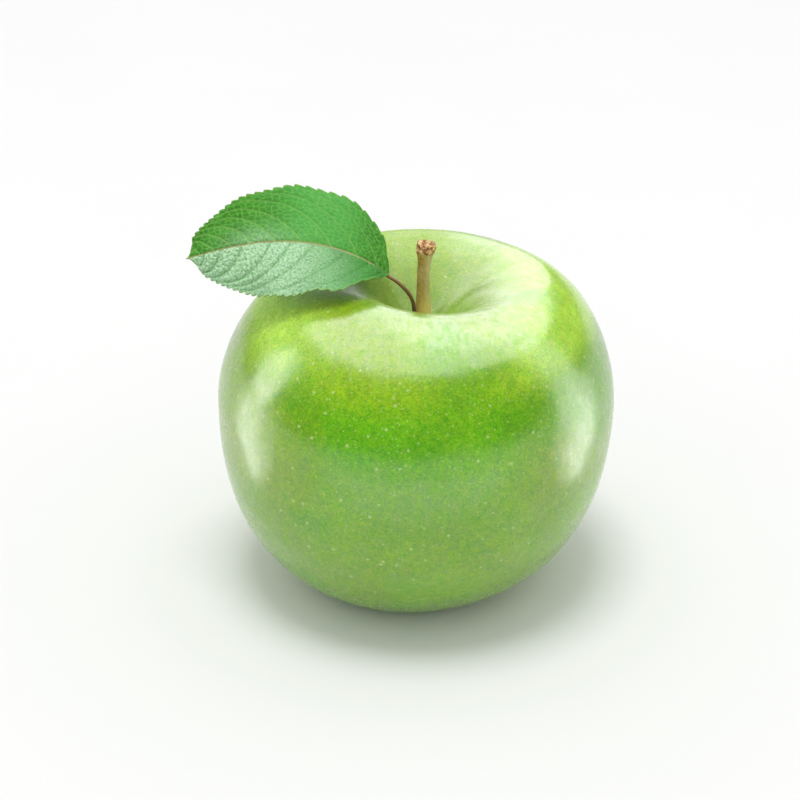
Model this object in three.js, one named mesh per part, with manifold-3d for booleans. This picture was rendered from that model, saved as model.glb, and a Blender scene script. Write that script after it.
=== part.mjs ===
// A fresh green apple, as picked: the fruit, its woody stem, one leaf on its stalk, and the dried calyx
// (sepals and stamens) in the basin underneath. Millimetres, +Z up.
//
// Everything is drawn about the fruit's own axis, with the fruit's widest level at z = 0. The last lines move
// the whole apple so that its origin is the middle of its box's underside, at the height that it rests on.

import * as THREE from 'three';
import { mergeVertices } from 'three/addons/utils/BufferGeometryUtils.js';
import Module from 'manifold-3d';

// Driving dimensions, in millimetres; angles are in degrees where the name says so.

const GAP = 0.3;                       // air left between neighbouring pieces

const FRUIT_RADIUS = 39.8;             // at the widest level
const SHOULDER = { height: 37.9, power: 1.86 };    // superellipse above the widest level
const FLANK = { height: 42.7, power: 2.37 };       // superellipse below it
const STEM_CAVITY = { depth: 24.8, radius: 15.2, power: 1.5 };
const CALYX_BASIN = { depth: 10.5, radius: 11, power: 2 };
const TOP_LEAN = { shift: 4.3, tilt: -2.1, height: 30 };    // the crown sits to +X, and falls that way
const BASE_LEAN = { shift: -2.4, tilt: -1.8, height: 40 };
const LOBES = { count: 5, radius: 16.3, width: 7, drop: 0.5, firstDegrees: -90 };
const REST_LEVEL = -39.55;             // the lobes are flattened here, where the apple rests
const FRUIT_STEPS = { around: 48, shoulder: 20, flank: 24 };

const STEM_X = 1.4;                    // the stem's axis, straight up to where it starts to lean
const STEM_LEAN = { from: 24, over: 10, shift: 0.7 };
const STEM_OUTLINE = [                 // radius, height
  [0, 14.45], [0.9, 14.55], [1.5, 15.3], [1.78, 16.2], [1.6, 18], [1.36, 21.5], [1.27, 25], [1.3, 28.5],
  [1.5, 30.6], [1.8, 31.7], [1.78, 32.7], [1.3, 33.4], [0, 33.2],
];
const STEM_KNOBS = { count: 3, height: 0.12, from: 29.5, over: 2.5 };    // lumps round the broken end
const STEM_STEPS = { along: 30, around: 16 };

const LEAF = { halfWidth: 14, basePower: 0.46, tipPower: 0.71, thickness: 0.4, endHalfWidth: 0.35 };
const BASE_PINCH = { share: 0.55, farReach: 0.05, nearReach: 0.075 };    // the blade draws in at its base
const TIP_PINCH = { reach: 0.055, power: 1.3 };                          // and again at its tip
const FAR_RISE = { base: 21.7, change: 14.8, curl: -3.7 };     // degrees that the +Y half rises, base to tip
const NEAR_RISE = { base: 12.8, change: -77, curl: 4.8 };      // degrees that the -Y half rises, base to tip
const TEETH = { count: 22, depth: 0.6, rows: 3, fullWhereWiderThan: 4 };
const TEETH_CROWDING = 0.75;           // how much closer the teeth stand towards both ends
const LEAF_COLUMNS = 6;
const MIDRIB = new THREE.CubicBezierCurve3(
  new THREE.Vector3(-5.5, -0.3, 26.5),
  new THREE.Vector3(-17.3, -0.7, 36.35),
  new THREE.Vector3(-30.8, -1.8, 35.35),
  new THREE.Vector3(-44.35, -4, 31.55),
);

const STALK_RADIUS = 0.42;
const STALK_ROUTE = [                  // from the foot of the stem out to the leaf
  [-0.6, -1.95, 15.9], [-0.38, -1.7, 18.9], [-0.6, -1.4, 21], [-1.45, -1.1, 22.8],
  [-2.6, -0.8, 24.1], [-3.95, -0.5, 25.25],
];
const STALK_UNDER_MIDRIB = [0.03, 0.1, 0.18];      // shares of the midrib that the stalk runs on under
const STALK_STEPS = { along: 26, around: 8 };

const SEPAL = { count: 5, length: 4.9, width: 2.8, thickness: 0.3, ring: 3.4, endWidth: 0.4, drop: 0.25 };
const SEPAL_CURVE = { inward: 3.2, outward: 2.7 };     // sepals close in, then turn out at their tips
const SEPAL_STEPS = { across: 2, along: 8 };
const STAMENS = { count: 8, length: 2.9, radius: 0.16, ring: 0.85, spread: 0.4 };
const STAMEN_MOUND = { radius: 1.35, depth: 0.8 };
const STAMEN_STEPS = { around: 6, moundAround: 14, moundRings: 8 };

const wasm = await Module();
wasm.setup();

// Moves every vertex of a geometry to where place(point) puts it.
function reshape(geometry, place) {
  const positions = geometry.attributes.position;
  const point = new THREE.Vector3();
  for (let i = 0; i < positions.count; i++) {
    point.fromBufferAttribute(positions, i);
    place(point);
    positions.setXYZ(i, point.x, point.y, point.z);
  }
  geometry.computeVertexNormals();
  return geometry;
}

function asSolid(geometry) {
  const bare = mergeVertices(geometry.clone().deleteAttribute('normal').deleteAttribute('uv'));
  const vertProperties = new Float32Array(bare.attributes.position.array);
  const triVerts = new Uint32Array(bare.index.array);
  return new wasm.Manifold(new wasm.Mesh({ numProp: 3, vertProperties, triVerts }));
}

// One closed body made of several that overlap.
function joined(geometries) {
  const mesh = geometries.map(asSolid).reduce((whole, piece) => whole.add(piece)).getMesh();
  const geometry = new THREE.BufferGeometry();
  geometry.setAttribute('position', new THREE.BufferAttribute(mesh.vertProperties, 3));
  geometry.setIndex(new THREE.BufferAttribute(mesh.triVerts, 1));
  geometry.computeVertexNormals();
  return geometry;
}

// A lathe turns about +Y; this stands it up along +Z.
function lathe(outline, around) {
  return new THREE.LatheGeometry(outline, around).rotateX(Math.PI / 2);
}

function hollow(radius, { depth, radius: width, power }) {
  return depth * Math.exp(-((radius / width) ** power));
}

// The fruit's half-outline: turn runs from -90 degrees, in the calyx basin, to +90, in the stem cavity.
function meridian(turnDegrees) {
  const turn = THREE.MathUtils.degToRad(turnDegrees);
  const side = turn < 0 ? FLANK : SHOULDER;
  const radius = Math.abs(turnDegrees) === 90 ? 0 : FRUIT_RADIUS * Math.cos(turn) ** (2 / side.power);
  const rise = side.height * Math.abs(Math.sin(turn)) ** (2 / side.power);
  if (turn < 0) {
    return new THREE.Vector2(radius, hollow(radius, CALYX_BASIN) - rise);
  }
  return new THREE.Vector2(radius, rise - hollow(radius, STEM_CAVITY) + hollow(FRUIT_RADIUS, STEM_CAVITY));
}

// Leans the crown and the base, drops five weak lobes round the basin, and flattens them where they rest.
function growUneven(point) {
  const radius = Math.hypot(point.x, point.y);
  const angle = Math.atan2(point.y, point.x) - THREE.MathUtils.degToRad(LOBES.firstDegrees);
  if (point.z < 0) {
    const ring = Math.exp(-(((radius - LOBES.radius) / LOBES.width) ** 2));
    point.z -= LOBES.drop * ring * (1 + Math.cos(LOBES.count * angle)) / 2;
  }
  const lean = point.z > 0 ? TOP_LEAN : BASE_LEAN;
  const share = Math.min(Math.abs(point.z) / lean.height, 1);
  point.x += lean.shift * share ** 2;
  const level = point.z > 0 ? 1 : THREE.MathUtils.smoothstep(radius, LOBES.radius, 2 * LOBES.radius);
  point.z += lean.tilt * share * level * point.x / FRUIT_RADIUS;
  point.z = Math.max(point.z, REST_LEVEL);
}

function fruit() {
  const outline = [];
  for (let i = -FRUIT_STEPS.flank; i < 0; i++) {
    outline.push(meridian(90 * i / FRUIT_STEPS.flank));
  }
  for (let i = 0; i <= FRUIT_STEPS.shoulder; i++) {
    outline.push(meridian(90 * i / FRUIT_STEPS.shoulder));
  }
  return reshape(lathe(outline, FRUIT_STEPS.around), growUneven);
}

// Where the fruit's axis lies at a height, once the crown and base lean.
function axisX(z) {
  const lean = z > 0 ? TOP_LEAN : BASE_LEAN;
  return lean.shift * Math.min(Math.abs(z) / lean.height, 1) ** 2;
}

function stem() {
  const curve = new THREE.SplineCurve(STEM_OUTLINE.map(([radius, z]) => new THREE.Vector2(radius, z)));
  const outline = curve.getPoints(STEM_STEPS.along);
  return reshape(lathe(outline, STEM_STEPS.around), (point) => {
    const top = THREE.MathUtils.clamp((point.z - STEM_KNOBS.from) / STEM_KNOBS.over, 0, 1);
    const knob = 1 + STEM_KNOBS.height * top * Math.cos(STEM_KNOBS.count * Math.atan2(point.y, point.x));
    const lean = Math.max((point.z - STEM_LEAN.from) / STEM_LEAN.over, 0);
    point.x = point.x * knob + STEM_X + STEM_LEAN.shift * lean ** 2;
    point.y *= knob;
  });
}

// How far the margin is drawn in at a share of the blade's length; the -Y half is drawn in for longer.
function pinch(share, far) {
  const reach = far ? BASE_PINCH.farReach : BASE_PINCH.nearReach;
  const atBase = 1 - BASE_PINCH.share * Math.exp(-((share / reach) ** 2));
  return atBase * Math.min((1 - share) / TIP_PINCH.reach, 1) ** TIP_PINCH.power;
}

// The blade's half-width at a share of its length: a rounded base, widest before the middle, a drawn-out tip.
function halfWidth(share, far) {
  const { halfWidth: most, basePower: a, tipPower: b, endHalfWidth } = LEAF;
  const peak = (a / (a + b)) ** a * (b / (a + b)) ** b;
  return Math.max(most * share ** a * (1 - share) ** b / peak * pinch(share, far), endHalfWidth);
}

// The blade's own directions at a share of its length: along the midrib, to its +Y side, and up.
function bladeFrame(share) {
  const along = MIDRIB.getTangentAt(share);
  const side = new THREE.Vector3(0, 1, 0).addScaledVector(along, -along.y).normalize();
  return { side, up: new THREE.Vector3().crossVectors(side, along) };
}

function blade() {
  const rows = TEETH.count * TEETH.rows;
  const box = new THREE.BoxGeometry(1, 1, 1, rows, LEAF_COLUMNS, 1);
  return reshape(box, (point) => {
    const row = Math.round((point.x + 0.5) * rows);
    const even = row / rows;
    const share = even - TEETH_CROWDING * Math.sin(2 * Math.PI * even) / (2 * Math.PI);
    const column = Math.round(-point.y * LEAF_COLUMNS);
    const across = Math.abs(column) / (LEAF_COLUMNS / 2);
    const { side, up } = bladeFrame(share);
    const rise = column > 0 ? FAR_RISE : NEAR_RISE;
    const slope = THREE.MathUtils.degToRad(rise.base + rise.change * share + rise.curl * across / 2);
    const width = halfWidth(share, column > 0);
    const onMargin = across === 1 && row > 0 && row < rows;
    const tooth = onMargin ? TEETH.depth * (row % TEETH.rows) / (TEETH.rows - 1) : 0;
    const reach = across * width + tooth * Math.min(width / TEETH.fullWhereWiderThan, 1);
    const lift = point.z * LEAF.thickness;
    const outward = side.clone().multiplyScalar(Math.sign(column));
    point.copy(MIDRIB.getPointAt(share));
    point.addScaledVector(outward, reach * Math.cos(slope));
    point.addScaledVector(up, reach * Math.sin(slope) + lift);
  });
}

function stalk() {
  const route = STALK_ROUTE.map(([x, y, z]) => new THREE.Vector3(x, y, z));
  for (const share of STALK_UNDER_MIDRIB) {
    route.push(MIDRIB.getPointAt(share).addScaledVector(bladeFrame(share).up, -STALK_RADIUS / 2));
  }
  const section = new THREE.Shape(new THREE.EllipseCurve(0, 0, STALK_RADIUS, STALK_RADIUS)
    .getPoints(STALK_STEPS.around).slice(0, -1));
  return new THREE.ExtrudeGeometry(section, {
    extrudePath: new THREE.CatmullRomCurve3(route),
    steps: STALK_STEPS.along,
    bevelEnabled: false,
  });
}

function basinFloor(radius) {
  return hollow(radius, CALYX_BASIN) - FLANK.height;
}

// One dried sepal, hanging from the basin floor at an angle round the fruit's axis.
function sepal(index) {
  const turn = 2 * Math.PI * (index + 0.5) / SEPAL.count;
  const top = basinFloor(SEPAL.ring) - GAP - SEPAL.drop;
  const box = new THREE.BoxGeometry(1, 1, 1, SEPAL_STEPS.across, SEPAL_STEPS.along, 1);
  return reshape(box, (point) => {
    const share = 0.5 - point.y;
    const ring = SEPAL.ring - SEPAL_CURVE.inward * share + SEPAL_CURVE.outward * share ** 2;
    const width = Math.max(SEPAL.width * (1 - share ** 2), SEPAL.endWidth);
    const angle = turn - point.x * width / SEPAL.ring;
    const radius = ring - point.z * SEPAL.thickness;
    const height = top - SEPAL.length * share;
    point.set(axisX(height) + radius * Math.cos(angle), radius * Math.sin(angle), height);
  });
}

// The dried stamens: a small mound at the middle of the basin, with short leaning filaments.
function stamens() {
  const top = basinFloor(0) - GAP;
  const pieces = [];
  const { moundAround, moundRings } = STAMEN_STEPS;
  const mound = new THREE.SphereGeometry(STAMEN_MOUND.radius, moundAround, moundRings);
  mound.scale(1, STAMEN_MOUND.depth / STAMEN_MOUND.radius, 1).rotateX(Math.PI / 2);
  pieces.push(mound.translate(axisX(top), 0, top - STAMEN_MOUND.depth));
  for (let i = 0; i < STAMENS.count; i++) {
    const turn = 2 * Math.PI * i / STAMENS.count;
    const { radius, length } = STAMENS;
    const filament = new THREE.CylinderGeometry(radius, radius, length, STAMEN_STEPS.around);
    filament.rotateX(Math.PI / 2).translate(0, 0, -length / 2);
    reshape(filament, (point) => {
      const ring = STAMENS.ring + STAMENS.spread * (point.z / length) ** 2;
      point.x += axisX(top) + ring * Math.cos(turn);
      point.y += ring * Math.sin(turn);
      point.z += top - STAMEN_MOUND.depth;
    });
    pieces.push(filament);
  }
  return joined(pieces);
}

function material(color, roughness) {
  return new THREE.MeshStandardMaterial({ color, roughness, metalness: 0 });
}

const apple = new THREE.Group();

function add(name, geometry, look) {
  const mesh = new THREE.Mesh(geometry, look);
  mesh.name = name;
  apple.add(mesh);
}

const driedSepal = material(0x6b5334, 0.9);

add('fruit', fruit(), material(0x7cb52a, 0.32));
add('stem', stem(), material(0x8a7a35, 0.8));
add('leaf', joined([blade(), stalk()]), material(0x4f9a45, 0.5));
for (let i = 0; i < SEPAL.count; i++) {
  add(`sepal_${i + 1}`, sepal(i), driedSepal);
}
add('stamens', stamens(), material(0x4a3826, 0.95));

const box = new THREE.Box3().setFromObject(apple);
const centre = box.getCenter(new THREE.Vector3());
apple.position.set(-centre.x, -centre.y, -box.min.z);

export default apple;
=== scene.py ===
"""A fresh green apple with its stem, one leaf and its dried calyx, on a pale table in a light tent."""

import math
from types import SimpleNamespace

import bmesh
import bpy
import numpy as np
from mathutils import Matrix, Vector, kdtree, noise


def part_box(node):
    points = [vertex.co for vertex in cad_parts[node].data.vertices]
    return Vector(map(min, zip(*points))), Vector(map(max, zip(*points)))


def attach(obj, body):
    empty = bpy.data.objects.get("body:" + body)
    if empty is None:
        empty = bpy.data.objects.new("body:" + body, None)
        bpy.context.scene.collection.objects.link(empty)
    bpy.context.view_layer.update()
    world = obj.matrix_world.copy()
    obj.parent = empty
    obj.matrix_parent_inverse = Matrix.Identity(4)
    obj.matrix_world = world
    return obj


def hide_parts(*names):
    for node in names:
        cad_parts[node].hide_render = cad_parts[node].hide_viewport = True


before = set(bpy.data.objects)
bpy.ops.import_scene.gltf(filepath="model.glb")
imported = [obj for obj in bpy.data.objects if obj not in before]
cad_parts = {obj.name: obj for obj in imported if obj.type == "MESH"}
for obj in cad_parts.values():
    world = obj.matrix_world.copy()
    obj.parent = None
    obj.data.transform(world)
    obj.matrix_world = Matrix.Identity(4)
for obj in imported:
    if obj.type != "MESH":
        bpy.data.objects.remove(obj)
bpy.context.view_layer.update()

MM = 0.001
SEED = 7

# The waist is the fruit's widest level, and the sizes below are measured from the waist's centre.
fruit_low, fruit_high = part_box("fruit")
FRUIT_RADIUS = (fruit_high.y - fruit_low.y) / 2
WAIST_SHARE = 0.5903
WAIST = Vector((
    (fruit_low.x + fruit_high.x) / 2,
    (fruit_low.y + fruit_high.y) / 2,
    fruit_low.z + WAIST_SHARE * (fruit_high.z - fruit_low.z),
))

FRUIT_SIZES = {
    "Radius": FRUIT_RADIUS,
    "Shoulder Height": 37.9 * MM,
    "Shoulder Power": 1.86,
    "Flank Height": 42.7 * MM,
    "Flank Power": 2.37,
    "Stem Cavity Depth": 24.8 * MM,
    "Stem Cavity Radius": 15.2 * MM,
    "Stem Cavity Power": 1.5,
    "Basin Depth": 10.5 * MM,
    "Basin Radius": 11.0 * MM,
    "Basin Power": 2.0,
    "Top Shift": 4.3 * MM,
    "Top Tilt": -2.1 * MM,
    "Top Reach": 30.0 * MM,
    "Base Shift": -2.4 * MM,
    "Base Tilt": -1.8 * MM,
    "Base Reach": 40.0 * MM,
    "Lobe Drop": 0.5 * MM,
    "Lobe Ring": 16.3 * MM,
    "Lobe Width": 7.0 * MM,
    "Rest Level": fruit_low.z - WAIST.z,
    "Swell": 0.16 * MM,
    "Swell Length": 13.0 * MM,
}
LOBES = 5
FRUIT_SEGMENTS = 320
FRUIT_RINGS = 260

# The leaf, in millimetres from the waist's centre. Its places along are shares of its length.
MIDRIB = np.array([(-5.5, -0.3, 26.5), (-17.3, -0.7, 36.35), (-30.8, -1.8, 35.35), (-44.35, -4.0, 31.55)])
LEAF_HALF_WIDTH = 14.0
LEAF_BASE_POWER, LEAF_TIP_POWER = 0.46, 0.71
TIP_PINCH_REACH, TIP_PINCH_POWER = 0.055, 1.3
BASE_PINCH, FAR_PINCH_REACH, NEAR_PINCH_REACH = 0.55, 0.05, 0.075
NEAR_BELLY, BELLY_PLACE, BELLY_REACH = 0.09, 0.27, 0.08
FAR_RISE = (21.7, 14.8, -1.85)  # degrees above the midrib at the base, and added by the tip and by the margin
NEAR_RISE = (12.8, -77.0, 2.4)
LEAF_THICKNESS = 0.26
LEAF_ROWS, LEAF_COLUMNS, END_CROWDING = 270, 140, 0.6

TEETH, TIP_TEETH = 19, 8
TOOTH_DEPTH, TOOTH_LEAN = 0.62, 0.35
TOOTH_CREST = 0.72
TOOTH_ROOM = 5.0  # half width of the blade from which its teeth are full size

# Side veins: where each one starts or would start along the midrib, and how far they sweep towards the tip.
FAR_VEINS = [-12.0, -5.5, -0.8, 2.6, 7.4, 12.6, 18.6, 23.5, 28.0, 32.2, 35.6, 38.3, 40.6]
NEAR_VEINS = [-12.0, -5.0, 0.2, 4.4, 9.9, 16.2, 20.6, 24.6, 30.2, 34.4, 37.6, 40.2]
FAR_SWEEP = (0.10, 0.75, 1.10)  # at the base, added by the tip, and the power of their bend
NEAR_SWEEP = (0.05, 0.76, 1.25)
LEAST_SWEEP, MOST_SWEEP = 0.05, 0.76
NET_SPACING, NET_SCATTER = 1.1, 0.42
FAR_PUFF, NEAR_PUFF = 0.17, 0.30
VEIN_DEPTH, RIB_DEPTH = 0.13, 0.22
NET_HEIGHT, NET_FLOOR = 0.115, 0.06
WAVE_HEIGHT, WAVES = 0.30, 4.3

STALK_ROUTE = [
    (-0.75, -1.9, 14.6), (-0.6, -1.95, 15.9), (-0.38, -1.7, 18.9), (-0.6, -1.4, 21.0),
    (-1.45, -1.1, 22.8), (-2.6, -0.8, 24.1), (-3.95, -0.5, 25.25),
]

STEM_X = 1.4
STEM_ROWS, STEM_SIDES = 300, 128
STEM_LEAN, LEAN_FROM, LEAN_OVER = 0.7, 24.0, 10.0
STEM_FLARE, STEM_BREAK = 30.6, 32.0  # heights where the knobbed end and its broken face begin
STEM_OUTLINE = [  # height, radius
    (13.6, 1.95), (14.6, 1.9), (15.5, 1.82), (18.0, 1.6), (21.5, 1.36), (25.0, 1.27), (28.5, 1.29),
    (30.2, 1.42), (31.4, 1.74), (32.3, 1.78), (32.9, 1.6), (33.2, 1.15), (33.25, 0.6), (33.2, 0.0),
]


# ---------------- node trees

class Field:
    """A socket of a node tree that plain arithmetic works on, with the field on the left of the sign."""

    def __init__(self, tree, socket):
        self.tree = tree
        self.socket = socket

    def maths(self, operation, *others):
        node = self.tree.nodes.new("ShaderNodeMath")
        node.operation = operation
        for place, value in zip(node.inputs, (self, *others)):
            plug(self.tree, value, place)
        return Field(self.tree, node.outputs[0])

    def __add__(self, other):
        return self.maths("ADD", other)

    def __sub__(self, other):
        return self.maths("SUBTRACT", other)

    def __mul__(self, other):
        return self.maths("MULTIPLY", other)

    def __truediv__(self, other):
        return self.maths("DIVIDE", other)

    def __pow__(self, other):
        return self.maths("POWER", other)

    def __neg__(self):
        return self.maths("MULTIPLY", -1.0)

    def exp(self):
        return self.maths("EXPONENT")

    def size(self):
        return self.maths("ABSOLUTE")

    def root(self):
        return self.maths("SQRT")


def plug(tree, value, place):
    """Links a field to an input, or sets a plain value on it."""
    if isinstance(value, Field):
        tree.links.new(value.socket, place)
    else:
        place.default_value = value


def fill(tree, node, inputs):
    """Links or sets a node's inputs by name or number."""
    for name, value in inputs.items():
        plug(tree, value, node.inputs[name])


def add_node(tree, kind, inputs=None, **settings):
    """A new node with its settings and inputs."""
    node = tree.nodes.new(kind)
    for name, value in settings.items():
        setattr(node, name, value)
    fill(tree, node, inputs or {})
    return node


def add_object(name, data):
    """A new object in the scene."""
    made = bpy.data.objects.new(name, data)
    bpy.context.scene.collection.objects.link(made)
    return made


def out(tree, node, name=0):
    """A node's output, by name or number."""
    return Field(tree, node.outputs[name])


def split(tree, vector):
    """The x, y and z of a vector field."""
    node = add_node(tree, "ShaderNodeSeparateXYZ", {0: vector})
    return [out(tree, node, i) for i in range(3)]


def join(tree, x, y, z):
    """The vector field of three fields or numbers."""
    return out(tree, add_node(tree, "ShaderNodeCombineXYZ", {0: x, 1: y, 2: z}))


def remap(tree, value, low, high, to_low=0.0, to_high=1.0, smooth=True):
    """value's way from low to high, as to_low to to_high."""
    node = add_node(tree, "ShaderNodeMapRange", {0: value, 1: low, 2: high, 3: to_low, 4: to_high})
    node.interpolation_type = "SMOOTHSTEP" if smooth else "LINEAR"
    return out(tree, node)


def choose(tree, test, when_true, when_false):
    """when_true where test is 1 and when_false where it is 0."""
    return test * when_true + (test * -1.0 + 1.0) * when_false


def random_field(tree, low, high, seed):
    """A number from low to high for each point."""
    node = add_node(tree, "FunctionNodeRandomValue", {2: low, 3: high, "Seed": seed}, data_type="FLOAT")
    return out(tree, node, 1)


def new_tree(name, sizes, with_geometry=False):
    """A Geometry Nodes tree with a named input for each size. Gives the tree and a field for each input."""
    tree = bpy.data.node_groups.new(name, "GeometryNodeTree")
    tree.interface.new_socket("Geometry", in_out="OUTPUT", socket_type="NodeSocketGeometry")
    if with_geometry:
        tree.interface.new_socket("Geometry", in_out="INPUT", socket_type="NodeSocketGeometry")
    for size in sizes:
        kind = "NodeSocketInt" if isinstance(sizes[size], int) else "NodeSocketFloat"
        tree.interface.new_socket(size, in_out="INPUT", socket_type=kind)
    given = tree.nodes.new("NodeGroupInput")
    return tree, {socket.name: Field(tree, socket) for socket in given.outputs if socket.name}


def end_tree(tree, geometry, material):
    """Smooths, realises and paints the geometry, and makes it the tree's result."""
    smooth = add_node(tree, "GeometryNodeSetShadeSmooth", {0: geometry})
    real = add_node(tree, "GeometryNodeRealizeInstances", {0: out(tree, smooth)})
    painted = add_node(tree, "GeometryNodeSetMaterial", {0: out(tree, real), "Material": material})
    add_node(tree, "NodeGroupOutput", {0: out(tree, painted)})


def grown(name, tree, sizes, material, start=None):
    """The plain mesh piece that a tree makes, from another object's data if start is given."""
    data = start if start is not None else bpy.data.meshes.new(name)
    seedling = add_object(name + "_seedling", data)
    modifier = seedling.modifiers.new("Grow", "NODES")
    modifier.node_group = tree
    for item in tree.interface.items_tree:
        if item.in_out == "INPUT" and item.name in sizes:
            modifier[item.identifier] = sizes[item.name]
    seedling.update_tag()
    depsgraph = bpy.context.evaluated_depsgraph_get()
    mesh = bpy.data.meshes.new_from_object(seedling.evaluated_get(depsgraph), depsgraph=depsgraph)
    mesh.name = name
    bpy.data.objects.remove(seedling)
    mesh.materials.clear()
    mesh.materials.append(material)
    return add_object(name, mesh)


# ---------------- mesh helpers

def piece_from(name, points, faces, material, numbers=None):
    """A smooth mesh piece at the origin, from points in metres, with named numbers kept on its points."""
    mesh = bpy.data.meshes.new(name)
    mesh.from_pydata([tuple(p) for p in points], [], [tuple(int(i) for i in f) for f in faces])
    mesh.update()
    mesh.polygons.foreach_set("use_smooth", [True] * len(mesh.polygons))
    for key, values in (numbers or {}).items():
        values = np.asarray(values, np.float32)
        kind = "FLOAT_VECTOR" if values.ndim == 2 else "FLOAT"
        attribute = mesh.attributes.new(key, kind, "POINT")
        attribute.data.foreach_set("vector" if values.ndim == 2 else "value", values.ravel())
    mesh.materials.append(material)
    return add_object(name, mesh)


def place(points):
    """Points in millimetres from the waist's centre, as metres in the shared frame."""
    return np.asarray(points) * MM + np.array(WAIST)


def grid_faces(rows, columns, start=0, flip=False):
    """Quads of a grid of points laid out row by row."""
    index = start + np.arange(rows * columns).reshape(rows, columns)
    a, b, c, d = index[:-1, :-1], index[1:, :-1], index[1:, 1:], index[:-1, 1:]
    quads = np.stack([a, b, c, d] if not flip else [a, d, c, b], -1)
    return quads.reshape(-1, 4)


def shell(top, bottom):
    """Points and faces of a closed sheet from two grids that share a layout."""
    rows, columns = top.shape[:2]
    count = rows * columns
    border = [(r, 0) for r in range(rows)] + [(rows - 1, c) for c in range(1, columns)]
    border += [(r, columns - 1) for r in range(rows - 2, -1, -1)]
    border += [(0, c) for c in range(columns - 2, 0, -1)]
    ring = [r * columns + c for r, c in border]
    sides = [(a, a + count, b + count, b) for a, b in zip(ring, ring[1:] + ring[:1])]
    faces = np.vstack([grid_faces(rows, columns, flip=True), grid_faces(rows, columns, start=count), sides])
    return np.vstack([top.reshape(-1, 3), bottom.reshape(-1, 3)]), faces


def outward(piece):
    """Turns every face of a closed piece to the outside."""
    made = bmesh.new()
    made.from_mesh(piece.data)
    bmesh.ops.recalc_face_normals(made, faces=made.faces)
    made.to_mesh(piece.data)
    made.free()
    return piece


def unit(vectors, least=1e-12):
    """The vectors at length 1, or less where they are shorter than least."""
    return vectors / np.maximum(np.linalg.norm(vectors, axis=-1, keepdims=True), least)


def grid_normals(points):
    """Unit normals of a grid of points."""
    return unit(np.cross(np.gradient(points, axis=1), np.gradient(points, axis=0)))


def run_along(points):
    """How far along a line each of its points is."""
    return np.r_[0, np.cumsum(np.linalg.norm(np.diff(points, axis=0), axis=1))]


def climb(value, low, high):
    """0 up to low, 1 from high on, and straight between."""
    return np.clip((value - low) / (high - low), 0, 1)


def hill(value, width):
    """1 where value is 0, falling away within about width."""
    return np.exp(-(value / width) ** 2)


def bumps(points, scale, octaves):
    """Smooth noise from about -1 to 1 at each point, for lumps about scale across."""
    flat = points.reshape(-1, 3) / scale
    values = [noise.fractal(Vector(p), 1.0, 2.0, octaves) for p in flat]
    return np.array(values).reshape(points.shape[:-1])


# ---------------- materials

def new_material(name):
    """A material with only a Principled shader. Gives the material, its tree and the shader."""
    material = bpy.data.materials.new(name)
    material.use_nodes = True
    tree = material.node_tree
    tree.nodes.clear()
    shader = tree.nodes.new("ShaderNodeBsdfPrincipled")
    surface = tree.nodes.new("ShaderNodeOutputMaterial")
    tree.links.new(shader.outputs[0], surface.inputs[0])
    return material, tree, shader


def object_place(tree):
    """Object coordinates in millimetres from the waist's centre."""
    coordinates = out(tree, add_node(tree, "ShaderNodeTexCoord"), "Object")
    mapping = add_node(tree, "ShaderNodeMapping", {
        0: coordinates, "Location": tuple(-WAIST / MM), "Scale": (1 / MM, 1 / MM, 1 / MM),
    })
    return out(tree, mapping)


def noise_field(tree, vector, size, detail=2.0, roughness=0.5, distortion=0.0):
    """Soft noise from 0 to 1 with blotches about size across, where size is a number or a field."""
    node = add_node(tree, "ShaderNodeTexNoise", {
        "Vector": vector, "Scale": size ** -1.0, "Detail": detail, "Roughness": roughness,
        "Distortion": distortion,
    })
    return out(tree, node, 0)


def dots(tree, vector, spacing, radius, softness=0.6):
    """1 inside scattered dots of a radius and 0 outside, in the same unit as vector."""
    node = add_node(tree, "ShaderNodeTexVoronoi", {"Vector": vector, "Scale": 1.0 / spacing})
    return remap(tree, out(tree, node, "Distance") * spacing, radius, radius * (1 - softness))


def ramp(tree, value, stops):
    """A colour that goes through stops, each a place from 0 to 1 and a linear colour."""
    node = add_node(tree, "ShaderNodeValToRGB", {0: value})
    band = node.color_ramp
    while len(band.elements) < len(stops):
        band.elements.new(0.5)
    for element, (where, colour) in zip(band.elements, stops):
        element.position = where
        element.color = (*colour, 1.0)
    return out(tree, node)


def mix(tree, share, first, second, blend="MIX"):
    """Two colours mixed by a share."""
    node = add_node(tree, "ShaderNodeMix", data_type="RGBA", blend_type=blend)
    plug(tree, share, node.inputs[0])
    for colour, socket in ((first, node.inputs[6]), (second, node.inputs[7])):
        plug(tree, colour if isinstance(colour, Field) else (*colour, 1.0), socket)
    return Field(tree, node.outputs[2])


def shade(tree, colour, amount):
    """A colour made lighter or darker by a field round 1."""
    grey = join(tree, amount, amount, amount)
    return mix(tree, 1.0, colour, grey, "MULTIPLY")


def bump(tree, height, distance):
    """A surface normal with a height field pressed into it; distance is in metres."""
    return out(tree, add_node(tree, "ShaderNodeBump", {"Height": height, "Distance": distance}))


def attribute(tree, name, vector=False):
    """A number or vector that a piece keeps on its own points."""
    node = add_node(tree, "ShaderNodeAttribute", attribute_name=name)
    return out(tree, node, "Vector" if vector else "Fac")


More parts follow.
